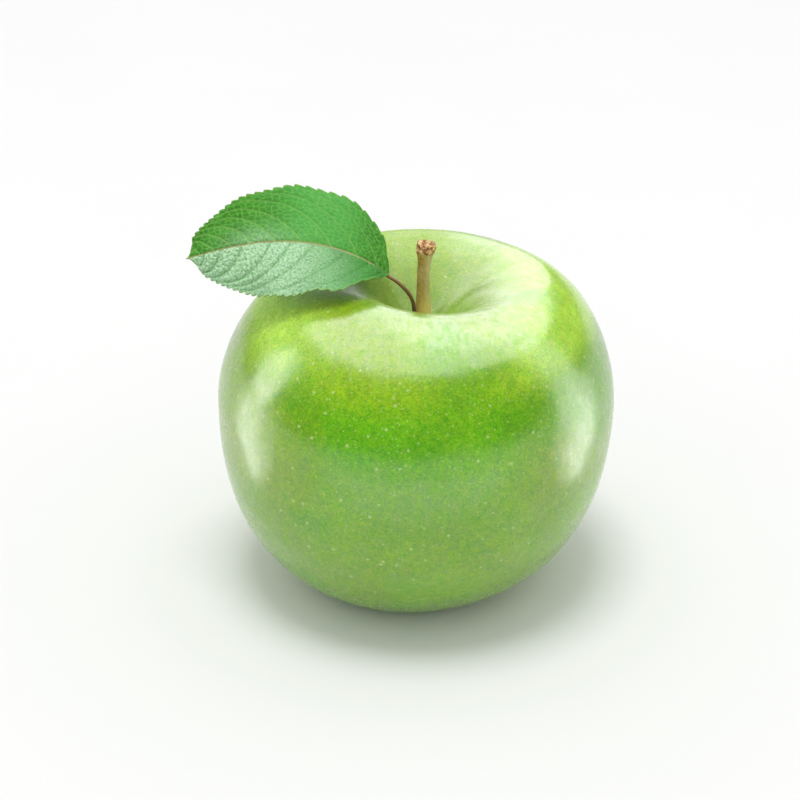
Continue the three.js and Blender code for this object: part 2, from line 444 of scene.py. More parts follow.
def skin_patterns(tree):
    """What the skin's colour, wax and relief share. turn is 0 at the base, 0.5 at the waist and 1 on top."""
    where = object_place(tree)
    x, y, z = split(tree, where)
    from_axis = (x * x + y * y).root()
    turn = z.maths("ARCTAN2", from_axis) / math.pi + 0.5
    near_crown = remap(tree, turn, 0.55, 0.8, 0.4, 1.0)
    spokes = join(tree, x / from_axis * 34.0, y / from_axis * 34.0, (z - from_axis) * 0.28)
    streaks = (noise_field(tree, spokes, 1.0, 4.0, 0.65) - 0.5) * near_crown
    drawn_out = join(tree, x, y, z * 0.55)
    flecks = noise_field(tree, drawn_out, 2.0, 5.0, 0.78, 0.4) - 0.5
    pale_dots = dots(tree, where, 1.1, 0.25) * 0.5 + dots(tree, where, 2.7, 0.46, 0.85)
    return SimpleNamespace(where=where, x=x, y=y, turn=turn, near_crown=near_crown,
                           streaks=streaks, flecks=flecks, pale_dots=pale_dots)


def skin_ground(tree, skin):
    """Green that is deepest at the waist and yellower above it, with broad blotches; its lighter band at the
    shoulders is partly painted light, and its lighter, yellower sides are painted light.
    """
    # Yellower towards the top is the skin's own colour; the lighter band round a turn of 0.6 to 0.72 is
    # partly painted light from above.
    colour = ramp(tree, skin.turn, [
        (0.00, (0.220, 0.330, 0.030)),
        (0.12, (0.180, 0.345, 0.006)),
        (0.36, (0.170, 0.365, 0.003)),
        (0.50, (0.150, 0.390, 0.002)),
        (0.56, (0.118, 0.420, 0.002)),
        (0.60, (0.145, 0.470, 0.002)),
        (0.65, (0.265, 0.505, 0.004)),
        (0.72, (0.265, 0.425, 0.008)),
        (0.85, (0.228, 0.380, 0.012)),
        (1.00, (0.205, 0.340, 0.020)),
    ])
    # Painted light: the left and right sides, most of all at their shoulders, are made lighter and yellower
    # to stand in for light falling on them from the sides.
    painted_side_light_colour = mix(tree, remap(tree, skin.turn, 0.60, 0.69), (0.22, 0.37, 0.004), (0.49, 0.83, 0.080))
    painted_side_light = remap(tree, skin.x.size(), 12.0, 28.0) * remap(tree, skin.turn, 0.38, 0.48)
    colour = mix(tree, painted_side_light * 0.8, colour, painted_side_light_colour)
    blotches = noise_field(tree, skin.where, 15.0, 3.0)
    colour = mix(tree, remap(tree, blotches, 0.45, 0.68, 0.0, 0.35), colour, (0.23, 0.50, 0.006))
    deeper = noise_field(tree, skin.where, 24.0, 2.0, distortion=0.4)
    return mix(tree, remap(tree, deeper, 0.5, 0.66, 0.0, 0.5), colour, (0.095, 0.36, 0.002))


def skin_colour(tree, skin):
    """The ground colour with mottling and grain, pale dots of two sizes and a few brown specks."""
    mottle = noise_field(tree, skin.where, 1.3, 4.0, 0.75) - 0.5
    grain = noise_field(tree, skin.where, 0.38, 2.0, 0.7) - 0.5
    calmer = skin.near_crown * -0.5 + 1.15
    warmth = (mottle * 2.0 + grain * 2.2 - skin.flecks * 0.5) * calmer + 1.0
    depth = mottle * 0.5 + grain * 1.1 - skin.flecks * 0.5 - skin.streaks * 0.5 + 1.0
    colour = mix(tree, 1.0, skin_ground(tree, skin), join(tree, warmth, depth, warmth), "MULTIPLY")
    colour = mix(tree, (skin.pale_dots * 0.75).maths("MINIMUM", 0.8), colour, (0.56, 0.72, 0.28))
    brown_specks = dots(tree, skin.where, 13.0, 0.40, 0.4)
    return mix(tree, brown_specks * 0.7, colour, (0.30, 0.17, 0.04))


def skin_dullness_and_leaf_shade(tree, skin):
    """How much less wax and more roughness the skin has, from 0 to 1: least wax on the cavity's far wall, and
    behind the leaf, where the lost shine is painted shade for the leaf.
    """
    behind = remap(tree, skin.y - skin.x * 0.6, -12.0, 8.0)
    left = remap(tree, skin.x, 14.0, 2.0)
    above = remap(tree, skin.turn, 0.62, 0.72)
    return behind * left * above * remap(tree, skin.x, -3.0, -10.0, 0.65, 1.0)


def skin_material():
    """Green skin with dots, streaks and flecks under an uneven wax, with painted light on its sides and
    shoulders and painted shade on the shine behind the leaf.
    """
    material, tree, shader = new_material("apple_skin")
    skin = skin_patterns(tree)
    # Less wax and more roughness behind the leaf take the shine away there. This is painted shade for the
    # leaf, together with a less waxy far wall in the cavity.
    dull_and_leaf_shade = skin_dullness_and_leaf_shade(tree, skin)
    patches = noise_field(tree, skin.where, 3.2, 3.0, 0.6)
    wax = (skin.flecks * 2.3 + skin.streaks * 2.3 + 0.5).maths("MAXIMUM", 0.0).maths("MINIMUM", 1.0)
    peel = noise_field(tree, skin.where, 0.42, 1.0, 0.6)
    ripple = noise_field(tree, skin.where, 6.5, 1.5, 0.5)
    height = peel * 0.036 + ripple * 0.24 + skin.pale_dots * 0.012 + skin.streaks * 0.02
    fill(tree, shader, {
        "Base Color": skin_colour(tree, skin),
        "Roughness": patches * 0.20 + dull_and_leaf_shade * 0.35 + 0.18,
        "Coat Weight": (wax * 0.55 + 0.40) * (dull_and_leaf_shade * -1.0 + 1.0),
        "Coat Roughness": 0.21,
        "Coat IOR": 1.82,
        "IOR": 1.5,
        "Specular IOR Level": 0.2,
        "Normal": bump(tree, height, MM),
    })
    return material


def leaf_marks(tree):
    """The fields that the leaf's colour, wax, painted sheen and relief share: its place, its veins and their
    fine mesh.
    """
    names = ("vein", "net", "margin", "underside", "far_half", "midrib", "bloom")
    leaf = SimpleNamespace(**{name: attribute(tree, name) for name in names})
    leaf.spot = attribute(tree, "leaf_place", vector=True)
    leaf.ribs = leaf.vein.maths("MAXIMUM", leaf.midrib)
    cells = {"Vector": leaf.spot, "Scale": 2.6}
    cell_edge = out(tree, add_node(tree, "ShaderNodeTexVoronoi", cells, feature="DISTANCE_TO_EDGE"))
    leaf.mesh_lines = remap(tree, cell_edge, 0.13, 0.02)
    uneven = remap(tree, noise_field(tree, leaf.spot, 0.5, 2.0, 0.7), 0.32, 0.62, 0.3, 1.0)
    # The wax also sets where a painted sheen goes into the colour.
    leaf.wax = uneven * (leaf.ribs * -0.8 + 1.0) * leaf.bloom
    return leaf


def leaf_colour(tree, leaf):
    """Two greens with paler veins and mesh, a pale painted sheen where the wax lies, a brown midrib and a
    greyer underside.
    """
    along = split(tree, leaf.spot)[0]
    tone = noise_field(tree, leaf.spot, 5.0, 3.0)
    deep = mix(tree, leaf.far_half, (0.034, 0.190, 0.030), (0.030, 0.155, 0.010))
    light = mix(tree, leaf.far_half, (0.055, 0.250, 0.044), (0.052, 0.245, 0.018))
    green = mix(tree, remap(tree, tone, 0.3, 0.7), deep, light)
    to_stalk = remap(tree, along, 27.0, 17.0, 0.0, 0.6) * remap(tree, along, 3.0, 12.0) * leaf.far_half
    green = mix(tree, to_stalk, green, (0.065, 0.40, 0.055))
    green = mix(tree, leaf.mesh_lines * 0.25, green, (0.11, 0.42, 0.05))
    green = mix(tree, leaf.net * (leaf.far_half * 0.45 + 0.3), green, (0.14, 0.48, 0.06))
    green = mix(tree, leaf.vein * (leaf.far_half * 0.5 + 0.1), green, (0.30, 0.54, 0.14))
    # Painted sheen: a pale bluish green is mixed in where the wax lies, mostly on the near half, and stands
    # in for the lamps' shine on it.
    green = mix(tree, leaf.wax * 0.82, green, (0.37, 0.60, 0.35))
    green = mix(tree, leaf.midrib * 0.8, green, (0.40, 0.30, 0.13))
    green = mix(tree, leaf.margin * 0.6, green, (0.26, 0.44, 0.08))
    below = mix(tree, leaf.ribs * 0.7, (0.12, 0.30, 0.06), (0.30, 0.44, 0.14))
    return mix(tree, leaf.underside, green, below)


def leaf_material():
    """A green blade with fine relief and a thin wax that lies thickest on its near half, with a pale painted
    sheen in its colour there.
    """
    material, tree, shader = new_material("leaf_blade")
    leaf = leaf_marks(tree)
    fine = noise_field(tree, leaf.spot, 0.28, 2.0)
    fill(tree, shader, {
        "Base Color": leaf_colour(tree, leaf),
        "Roughness": leaf.underside * 0.2 + 0.5,
        "Coat Weight": leaf.wax * 0.6,
        "Coat Roughness": 0.36,
        "Coat IOR": 1.75,
        "Specular IOR Level": 0.04,
        "Normal": bump(tree, leaf.mesh_lines * -0.02 + fine * 0.02, MM),
    })
    return material


def stalk_material():
    """The leaf's stalk: reddish brown, darker and duller towards its foot."""
    material, tree, shader = new_material("leaf_stalk")
    where = object_place(tree)
    height = split(tree, where)[2]
    tone = noise_field(tree, where, 0.9, 3.0)
    colour = ramp(tree, remap(tree, height, 17.0, 30.0), [
        (0.0, (0.060, 0.022, 0.010)),
        (0.45, (0.16, 0.062, 0.028)),
        (0.75, (0.27, 0.13, 0.06)),
        (1.0, (0.30, 0.30, 0.11)),
    ])
    colour = shade(tree, colour, (tone - 0.5) * 0.7 + 1.0)
    fill(tree, shader, {"Base Color": colour, "Roughness": 0.45, "Normal": bump(tree, tone, 0.08 * MM)})
    return material


def bark_material():
    """The stem: olive bark with fine pale and dark specks, painted light that makes its +x side paler, and a
    rough brown broken end.
    """
    material, tree, shader = new_material("stem_bark")
    where = object_place(tree)
    x, _y, z = split(tree, where)
    mottle = noise_field(tree, where, 2.2, 3.0, 0.6)
    olive = mix(tree, remap(tree, mottle, 0.35, 0.65), (0.40, 0.255, 0.042), (0.52, 0.37, 0.125))
    rust = noise_field(tree, where, 3.5, 2.0)
    olive = mix(tree, remap(tree, rust, 0.55, 0.72, 0.0, 0.75), olive, (0.46, 0.21, 0.025))
    specks = noise_field(tree, where, 0.32, 2.0, 0.7)
    olive = shade(tree, olive, remap(tree, specks, 0.3, 0.7, 0.55, 1.5, smooth=False))
    # Painted light: the bark turns paler towards +x and stands in for light falling on that side.
    painted_lit_side = remap(tree, x, 0.8, 2.8, 0.0, 0.6)
    olive = mix(tree, painted_lit_side, olive, (0.66, 0.61, 0.34))
    foot = remap(tree, z, 25.0, 15.5, 0.0, 0.9)
    olive = mix(tree, foot, olive, (0.86, 0.60, 0.19))
    scar = attribute(tree, "scar")
    lumps = noise_field(tree, where, 0.7, 2.0, 0.6)
    brown = ramp(tree, lumps, [
        (0.30, (0.10, 0.040, 0.016)),
        (0.42, (0.36, 0.16, 0.055)),
        (0.55, (0.62, 0.36, 0.13)),
        (0.70, (0.85, 0.62, 0.25)),
    ])
    bark = mix(tree, scar, olive, brown)
    fill(tree, shader, {"Base Color": bark, "Roughness": 0.72, "Normal": bump(tree, specks, 0.1 * MM)})
    return material


def dried_material(name, dark, light, size):
    """Dried, matt plant tissue, mottled between two browns."""
    material, tree, shader = new_material(name)
    where = object_place(tree)
    mottle = noise_field(tree, where, size, 3.0, 0.6)
    brown = mix(tree, remap(tree, mottle, 0.3, 0.7), dark, light)
    fill(tree, shader, {"Base Color": brown, "Roughness": 0.85, "Normal": bump(tree, mottle, 0.12 * MM)})
    return material


def table_material():
    """A pale, matt table top with a barely visible grain."""
    material, tree, shader = new_material("pale_table")
    grain = noise_field(tree, object_place(tree), 60.0, 2.0)
    pale = mix(tree, grain, (0.87, 0.87, 0.87), (0.89, 0.89, 0.89))
    fill(tree, shader, {"Base Color": pale, "Roughness": 0.9, "Specular IOR Level": 0.0})
    return material


# ---------------- fruit

def hollow_field(radius, depth, width, power):
    """How deep a rounded hollow is at a distance from its middle."""
    return depth * (-((radius / width) ** power)).exp()


def fruit_places(tree, size):
    """Where a unit globe's points go: superellipse shoulders and flanks, two hollows, lobes and a lean."""
    x, y, z = split(tree, out(tree, add_node(tree, "GeometryNodeInputPosition")))
    level_radius = (x * x + y * y).root()
    cosine, sine = x / level_radius, y / level_radius
    upper = z.maths("GREATER_THAN", 0.0)
    power = choose(tree, upper, size["Shoulder Power"], size["Flank Power"])
    height = choose(tree, upper, size["Shoulder Height"], size["Flank Height"])
    radius = size["Radius"] * (level_radius ** (power ** -1.0 * 2.0))
    rise = height * (z.size() ** (power ** -1.0 * 2.0))
    cavity = [size["Stem Cavity Depth"], size["Stem Cavity Radius"], size["Stem Cavity Power"]]
    basin = [size["Basin Depth"], size["Basin Radius"], size["Basin Power"]]
    top = rise - hollow_field(radius, *cavity) + hollow_field(size["Radius"], *cavity)
    bottom = hollow_field(radius, *basin) - rise
    angle = sine.maths("ARCTAN2", cosine) + math.pi / 2
    ring = (-(((radius - size["Lobe Ring"]) / size["Lobe Width"]) ** 2.0)).exp()
    lobe = size["Lobe Drop"] * ring * ((angle * float(LOBES)).maths("COSINE") + 1.0) * 0.5
    z_new = choose(tree, upper, top, bottom - lobe)
    crown = z_new.maths("GREATER_THAN", 0.0)
    reach = choose(tree, crown, size["Top Reach"], size["Base Reach"])
    share = (z_new.size() / reach).maths("MINIMUM", 1.0)
    x_new = radius * cosine + choose(tree, crown, size["Top Shift"], size["Base Shift"]) * share * share
    level = choose(tree, crown, 1.0, remap(tree, radius, size["Lobe Ring"], size["Lobe Ring"] * 2.0))
    tilt = choose(tree, crown, size["Top Tilt"], size["Base Tilt"])
    z_new = z_new + tilt * share * level * x_new / size["Radius"]
    return join(tree, x_new, radius * sine, z_new)


def fruit_tree(material):
    """A globe reshaped into the fruit, gently swollen here and there, then flattened where it rests."""
    tree, size = new_tree("Apple Fruit", FRUIT_SIZES)
    globe = add_node(tree, "GeometryNodeMeshUVSphere", {
        "Segments": FRUIT_SEGMENTS, "Rings": FRUIT_RINGS, "Radius": 1.0,
    })
    shaped = add_node(tree, "GeometryNodeSetPosition", {
        "Geometry": out(tree, globe, "Mesh"), "Position": fruit_places(tree, size),
    })
    position = out(tree, add_node(tree, "GeometryNodeInputPosition"))
    swell = noise_field(tree, position, size["Swell Length"], 1.5)
    normal = out(tree, add_node(tree, "GeometryNodeInputNormal"))
    push = add_node(tree, "ShaderNodeVectorMath", {0: normal}, operation="SCALE")
    plug(tree, (swell - 1.0) * size["Swell"] * 2.0, push.inputs["Scale"])
    swollen = add_node(tree, "GeometryNodeSetPosition", {
        "Geometry": out(tree, shaped), "Offset": out(tree, push),
    })
    x, y, z = split(tree, position)
    rested = add_node(tree, "GeometryNodeSetPosition", {
        "Geometry": out(tree, swollen), "Position": join(tree, x, y, z.maths("MAXIMUM", size["Rest Level"])),
    })
    placed = add_node(tree, "GeometryNodeTransform", {
        "Geometry": out(tree, rested), "Translation": tuple(WAIST),
    })
    end_tree(tree, out(tree, placed), material)
    return tree


def make_fruit():
    """The fruit's whole surface, with both hollows."""
    material = skin_material()
    return grown("fruit_skin", fruit_tree(material), FRUIT_SIZES, material)


# ---------------- leaf

def bezier(points, share):
    """The cubic curve with these four control points, at shares from 0 to 1."""
    share = np.asarray(share)[..., None]
    rest = 1 - share
    a, b, c, d = points
    return rest ** 3 * a + 3 * rest ** 2 * share * b + 3 * rest * share ** 2 * c + share ** 3 * d


def along_midrib(share):
    """Points of the midrib at even shares of its length, the way it runs there, and its whole length."""
    fine = np.linspace(0, 1, 801)
    arc = run_along(bezier(MIDRIB, fine))
    where = np.interp(share, arc / arc[-1], fine)
    nudge = 1e-4
    way = bezier(MIDRIB, where + nudge) - bezier(MIDRIB, where - nudge)
    return bezier(MIDRIB, where), unit(way), arc[-1]


def leaf_half_width(share):
    """Half the blade's width along its length: a rounded base, a longer taper and a pinched tip."""
    a, b = LEAF_BASE_POWER, LEAF_TIP_POWER
    share = np.clip(share, 1e-6, 1 - 1e-6)
    peak = (a / (a + b)) ** a * (b / (a + b)) ** b
    pinched_tip = np.clip((1 - share) / TIP_PINCH_REACH, 0, 1) ** TIP_PINCH_POWER
    return LEAF_HALF_WIDTH * share ** a * (1 - share) ** b / peak * pinched_tip


def half_shape(share, far):
    """How the two halves differ from an even blade: both are pinched at the base, the near one for longer."""
    belly = 1 + np.where(far, 0.0, NEAR_BELLY) * hill(share - BELLY_PLACE, BELLY_REACH)
    return (1 - BASE_PINCH * hill(share, np.where(far, FAR_PINCH_REACH, NEAR_PINCH_REACH))) * belly


def leaf_sheet(share, across):
    """The blade's smooth middle surface at shares of its length and from -1 to 1 across it."""
    middle, way, length = along_midrib(share)
    side = unit(np.array([0.0, 1.0, 0.0]) - way * way[..., 1:2])
    up = np.cross(side, way)
    far = across > 0
    at_base, by_tip, by_margin = (np.where(far, *pair) for pair in zip(FAR_RISE, NEAR_RISE))
    slope = np.radians(at_base + by_tip * share + by_margin * np.abs(across))[..., None]
    reach = (across * leaf_half_width(share) * half_shape(share, far))[..., None]
    return middle + reach * np.cos(slope) * side + np.abs(reach) * np.sin(slope) * up, length


def tooth_profile(turns):
    """Forward-pointing rounded teeth: 0 in each notch, rising slowly and falling fast."""
    phase = turns % 1.0
    rising = np.sin(climb(phase, 0.0, TOOTH_CREST) * math.pi / 2)
    falling = np.cos(climb(phase, TOOTH_CREST, 1.0) * math.pi / 2)
    return np.where(phase < TOOTH_CREST, rising, falling)


def vein_place(along, off_rib, length, far):
    """Where on the midrib the side vein through each spot would start: veins bend towards the tip."""
    at_base, by_tip, bend = (np.where(far, *pair) for pair in zip(FAR_SWEEP, NEAR_SWEEP))
    swept = np.clip(at_base + by_tip * along / length, LEAST_SWEEP, MOST_SWEEP) * off_rib ** bend
    return (along - swept * length) / (1 - swept)


def vein_layout(along, off_rib, width, length, far):
    """Distance to the nearest side vein, and how far on the way between two veins each spot is."""
    here = vein_place(along, off_rib, length, far)
    nudge = 0.02
    steep_along = (vein_place(along + nudge, off_rib, length, far) - here) / nudge
    nearer_margin = vein_place(along, np.minimum(off_rib + nudge, 1.0), length, far)
    steep_aside = (nearer_margin - here) / (nudge * width + 1e-6)
    steep = np.sqrt(steep_along ** 2 + steep_aside ** 2) + 1e-6
    distance, between = np.empty_like(here), np.empty_like(here)
    for starts, half in ((FAR_VEINS, far), (NEAR_VEINS, ~far)):
        starts = np.array(starts)
        after = np.clip(np.searchsorted(starts, here[half]), 1, len(starts) - 1)
        low, high = starts[after - 1], starts[after]
        between[half] = climb(here[half], low, high)
        distance[half] = np.minimum(abs(here[half] - low), abs(here[half] - high)) / steep[half]
    return distance, between


def net_layout(spots, seed):
    """How far each spot is from the edge between the two nearest of many scattered cell centres."""
    rng = np.random.default_rng(seed)
    low, high = spots.min(0) - NET_SPACING, spots.max(0) + NET_SPACING
    steps = [np.arange(a, b, NET_SPACING) for a, b in zip(low, high)]
    centres = np.stack(np.meshgrid(*steps, indexing="ij"), -1).reshape(-1, 2)
    centres = centres + rng.uniform(-NET_SCATTER, NET_SCATTER, centres.shape) * NET_SPACING
    tree = kdtree.KDTree(len(centres))
    for i, (a, b) in enumerate(centres):
        tree.insert((a, b, 0.0), i)
    tree.balance()
    gap = np.empty(len(spots))
    for i, (a, b) in enumerate(spots):
        nearest = tree.find_n((a, b, 0.0), 2)
        gap[i] = nearest[1][2] - nearest[0][2]
    return gap


def blade_layout():
    """A grid over the blade, closer at base and tip, and where each spot lies among the veins and the net."""
    even = np.linspace(0, 1, LEAF_ROWS)
    crowded = even - END_CROWDING * np.sin(2 * math.pi * even) / (2 * math.pi)
    share, across = np.meshgrid(crowded, np.linspace(-1, 1, LEAF_COLUMNS), indexing="ij")
    smooth, length = leaf_sheet(share, across)
    width, far, off_rib = leaf_half_width(share), across > 0, np.abs(across)
    along, aside = share * length, off_rib * width
    distance, between = vein_layout(along, off_rib, width, length, far)
    spots = np.stack([along, across * width], -1).reshape(-1, 2)
    net_gap = net_layout(spots, SEED).reshape(share.shape)
    vein_end = 1 - climb(off_rib, 0.8, 1.0) ** 2
    return SimpleNamespace(share=share, across=across, smooth=smooth, width=width, far=far, off_rib=off_rib,
                           aside=aside, distance=distance, between=between, spots=spots, net_gap=net_gap,
                           vein_end=vein_end)


def toothed(blade):
    """The smooth sheet with teeth along its margin, each leaning towards the tip."""
    size = np.clip(blade.width / TOOTH_ROOM, 0.15, 1.0) * climb(blade.off_rib, 0.86, 1.0) ** 1.4
    turns = blade.share * TEETH + blade.share ** 4 * TIP_TEETH + np.where(blade.far, 0.35, 0.0)
    profile = tooth_profile(turns)
    outwards = np.sign(blade.across) * TOOTH_DEPTH * size * (profile - 0.35)
    side_way = unit(np.gradient(blade.smooth, axis=1), 1e-9)
    sheet = blade.smooth + side_way * outwards[..., None]
    length_way = unit(np.gradient(blade.smooth, axis=0), 1e-9)
    return sheet + length_way * (TOOTH_LEAN * size * profile)[..., None]


def blade_faces(blade):
    """The blade's upper and lower faces: cushions and a fine net between sunken veins, and a wavy margin."""
    vein_groove = hill(blade.distance, 0.24) * blade.vein_end
    rib_groove = hill(blade.aside, 0.55 - 0.3 * blade.share)
    cushion = np.sin(math.pi * blade.between) ** 0.8 * climb(blade.aside, 0.0, 3.0)
    off_margin = np.clip((1 - blade.off_rib) * 6, 0, 1)
    relief = np.where(blade.far, FAR_PUFF, NEAR_PUFF) * cushion * off_margin
    relief -= VEIN_DEPTH * vein_groove + RIB_DEPTH * rib_groove
    relief += (NET_HEIGHT * (1 - hill(blade.net_gap, 0.22)) - NET_FLOOR) * (0.35 + 0.65 * off_margin)
    ends = np.clip(np.minimum(blade.share, 1 - blade.share) * 14, 0, 1)
    wave_turns = blade.share * WAVES + np.where(blade.far, 0.2, 0.65)
    wave = WAVE_HEIGHT * np.sin(2 * math.pi * wave_turns) * blade.off_rib ** 3
    upper = (relief + wave) * ends + LEAF_THICKNESS / 2
    thickness = LEAF_THICKNESS * (1 - 0.55 * climb(blade.off_rib, 0.92, 1.0))
    raised_ribs = 0.10 * vein_groove + 0.25 * rib_groove * (1 - 0.6 * blade.share)
    lower = (relief * 0.8 + wave - raised_ribs) * ends - thickness / 2
    sheet = toothed(blade)
    normal = grid_normals(sheet)
    return sheet + normal * upper[..., None], sheet + normal * lower[..., None]


def blade_marks(blade):
    """What the leaf's material reads on each point, for the upper face and then the lower one."""
    # Where the wax and its painted sheen lie: over the near half from a sixth of the way along, and a little
    # on the far half, mostly by the midrib.
    near_wax_and_sheen = climb(blade.share, 0.15, 0.49) * (0.72 + 0.52 * blade.share)
    far_wax_and_sheen = 0.5 * hill(blade.aside, 3.5) * hill(blade.share - 0.66, 0.16)
    far_wax_and_sheen += 0.07 * hill(blade.share - 0.36, 0.2)
    on_both = {
        "vein": hill(blade.distance, 0.13) * blade.vein_end * (1 - 0.45 * blade.off_rib),
        "midrib": hill(blade.aside, 0.24 - 0.12 * blade.share),
        "net": hill(blade.net_gap, 0.13),
        "margin": climb(blade.off_rib, 0.975, 0.995) * (blade.share > 0.02),
        "far_half": blade.far.astype(float),
    }
    marks = {name: np.tile(values.ravel(), 2) for name, values in on_both.items()}
    none, full = np.zeros(blade.share.size), np.ones(blade.share.size)
    marks["bloom"] = np.r_[np.where(blade.far, far_wax_and_sheen, near_wax_and_sheen).ravel(), none]
    marks["underside"] = np.r_[none, full]
    marks["leaf_place"] = np.tile(np.c_[blade.spots, none], (2, 1))
    return marks


def make_blade():
    """The leaf blade as one thick sheet, quilted between sunken veins, with a toothed margin."""
    blade = blade_layout()
    points, faces = shell(*blade_faces(blade))
    return outward(piece_from("leaf_blade", place(points), faces, leaf_material(), blade_marks(blade)))


STALK_SIZES = {
    "Foot Radius": 0.50 * MM, "Neck Radius": 0.36 * MM, "Tip Radius": 0.07 * MM, "Sides": 14, "Steps": 150,
}


def stalk_tree(material):
    """A tapering round stalk along the curve that the tree is given."""
    tree, size = new_tree("Leaf Stalk", STALK_SIZES, with_geometry=True)
    steps = add_node(tree, "GeometryNodeResampleCurve", {"Curve": size["Geometry"], "Count": size["Steps"]})
    way = out(tree, add_node(tree, "GeometryNodeSplineParameter"), "Factor")
    neck = remap(tree, way, 0.0, 0.16)
    radius = size["Foot Radius"] + (size["Neck Radius"] - size["Foot Radius"]) * neck
    under_blade = remap(tree, way, 0.3, 1.0, smooth=False)
    radius = radius + (size["Tip Radius"] - radius) * under_blade
    sized = add_node(tree, "GeometryNodeSetCurveRadius", {"Curve": out(tree, steps), "Radius": radius})
    ring = add_node(tree, "GeometryNodeCurvePrimitiveCircle", {"Resolution": size["Sides"], "Radius": 1.0})
    tube = add_node(tree, "GeometryNodeCurveToMesh", {
        "Curve": out(tree, sized), "Profile Curve": out(tree, ring), "Fill Caps": True,
        "Scale": out(tree, add_node(tree, "GeometryNodeInputRadius")),
    })
    end_tree(tree, out(tree, tube), material)
    return tree


def smooth_route(route, steps=24):
    """A Catmull-Rom curve through points, as many points."""
    points = np.asarray(route, float)
    padded = np.vstack([2 * points[0] - points[1], points, 2 * points[-1] - points[-2]])
    t = np.linspace(0, 1, steps, endpoint=False)[:, None]
    made = []
    for p0, p1, p2, p3 in zip(padded, padded[1:], padded[2:], padded[3:]):
        made.append(0.5 * (2 * p1 + (p2 - p0) * t + (2 * p0 - 5 * p1 + 4 * p2 - p3) * t ** 2
                           + (3 * p1 - p0 - 3 * p2 + p3) * t ** 3))
    return np.vstack([*made, points[-1:]])


def curve_data(name, points):
    """A poly curve through points in metres."""
    curve = bpy.data.curves.new(name, "CURVE")
    curve.dimensions = "3D"
    spline = curve.splines.new("POLY")
    spline.points.add(len(points) - 1)
    for knot, point in zip(spline.points, points):
        knot.co = (*point, 1.0)
    return curve


def make_stalk():
    """The stalk, from beside the stem's foot up to the blade and on under its midrib."""
    material = stalk_material()
    shares = np.linspace(0.01, 0.9, 14)
    under_rib = along_midrib(shares)[0] - np.array([0, 0, 0.30])
    route = smooth_route(np.vstack([STALK_ROUTE, under_rib]))
    curve = curve_data("stalk_route", place(route))
    return grown("leaf_stalk", stalk_tree(material), STALK_SIZES, material, start=curve)


# ---------------- stem

def stem_outline():
    """Heights and radii of the stem's outline at even steps along it, closed to a point on top."""
    outline = smooth_route([(height, radius, 0.0) for height, radius in STEM_OUTLINE], 40)
    arc = run_along(outline)
    spaced = np.linspace(0, arc[-1], STEM_ROWS)
    radius = np.maximum(np.interp(spaced, arc, outline[:, 1]), 0.0)
    radius[-1] = 0.0
    return np.interp(spaced, arc, outline[:, 0]), radius


def stem_surface():
    """A grid of points round the stem, with ridged bark and a lumpy break, and how much each is scar."""
    height, radius = stem_outline()
    h, a = np.meshgrid(height, np.linspace(0, 2 * math.pi, STEM_SIDES, endpoint=False), indexing="ij")
    r = np.repeat(radius[:, None], STEM_SIDES, 1)
    turned = np.stack([r * np.cos(a), r * np.sin(a), h], -1)
    ridges = bumps(turned * (1.0, 1.0, 0.22), 0.75, 3)
    grain = bumps(turned, 0.33, 2)
    knobs = bumps(turned + 9.0, 0.85, 3)
    slant = 0.16 * np.cos(a - 2.2) + 0.10 * np.cos(2 * a + 0.7)
    bark = 1 + 0.045 * ridges + 0.02 * grain + 0.03 * np.cos(2 * a + 0.5)
    flare = climb(h, STEM_FLARE, STEM_FLARE + 1.0)
    r = r * bark * (1 + flare * (0.15 * knobs + 0.08 * slant))
    broken = climb(h, STEM_BREAK, STEM_BREAK + 1.0) * (0.55 * knobs + 0.35 * slant)
    lean = STEM_LEAN * np.maximum((h - LEAN_FROM) / LEAN_OVER, 0) ** 2
    scar = climb(h + 0.5 * knobs, 31.0, 31.5)
    return np.stack([r * np.cos(a) + STEM_X + lean, r * np.sin(a), h + broken], -1), scar


def tube_faces(rows, sides):
    """Faces of a round wall laid out row by row, with fans to a tip and a heel point that come after it."""
    ring = np.arange(rows * sides).reshape(rows, sides)
    ring = np.c_[ring, ring[:, :1]]
    quads = np.stack([ring[:-1, :-1], ring[:-1, 1:], ring[1:, 1:], ring[1:, :-1]], -1).reshape(-1, 4)
    tip, heel = rows * sides, rows * sides + 1
    caps = [(ring[-1, i], ring[-1, i + 1], tip) for i in range(sides)]
    caps += [(ring[0, i + 1], ring[0, i], heel) for i in range(sides)]
    return [*quads.tolist(), *caps]


def make_stem():
    """The woody stem, with rough bark and a knobbed, broken end."""
    grid, scar = stem_surface()
    tip, heel = grid[-1].mean(0), grid[0].mean(0)
    points = np.vstack([grid[:-1].reshape(-1, 3), tip, heel])
    scar = np.r_[scar[:-1].ravel(), 1.0, 0.0]
    faces = tube_faces(STEM_ROWS - 1, STEM_SIDES)
    return outward(piece_from("stem_wood", place(points), faces, bark_material(), {"scar": scar}))


# ---------------- calyx

# In millimetres from the waist's centre. The fruit's axis, and the calyx with it, is off centre at the base.
BASIN_FLOOR = (FRUIT_SIZES["Basin Depth"] - FRUIT_SIZES["Flank Height"]) / MM
BASE_AXIS_X = FRUIT_SIZES["Base Shift"] / MM * (BASIN_FLOOR * MM / FRUIT_SIZES["Base Reach"]) ** 2
SEPALS = 5
SEPAL_LENGTH, SEPAL_WIDTH, SEPAL_RING = 4.9, 2.9, 3.35
SEPAL_THICKNESS, SEPAL_LIFT, SEPAL_CLOSING = 0.2, 0.35, 3.3
SEPAL_ROWS, SEPAL_COLUMNS = 44, 17


def basin_height(radius):
    """The basin's floor at a distance from the fruit's axis, in millimetres from the waist."""
    depth, width = FRUIT_SIZES["Basin Depth"] / MM, FRUIT_SIZES["Basin Radius"] / MM
    return depth * hill(radius, width) - FRUIT_SIZES["Flank Height"] / MM


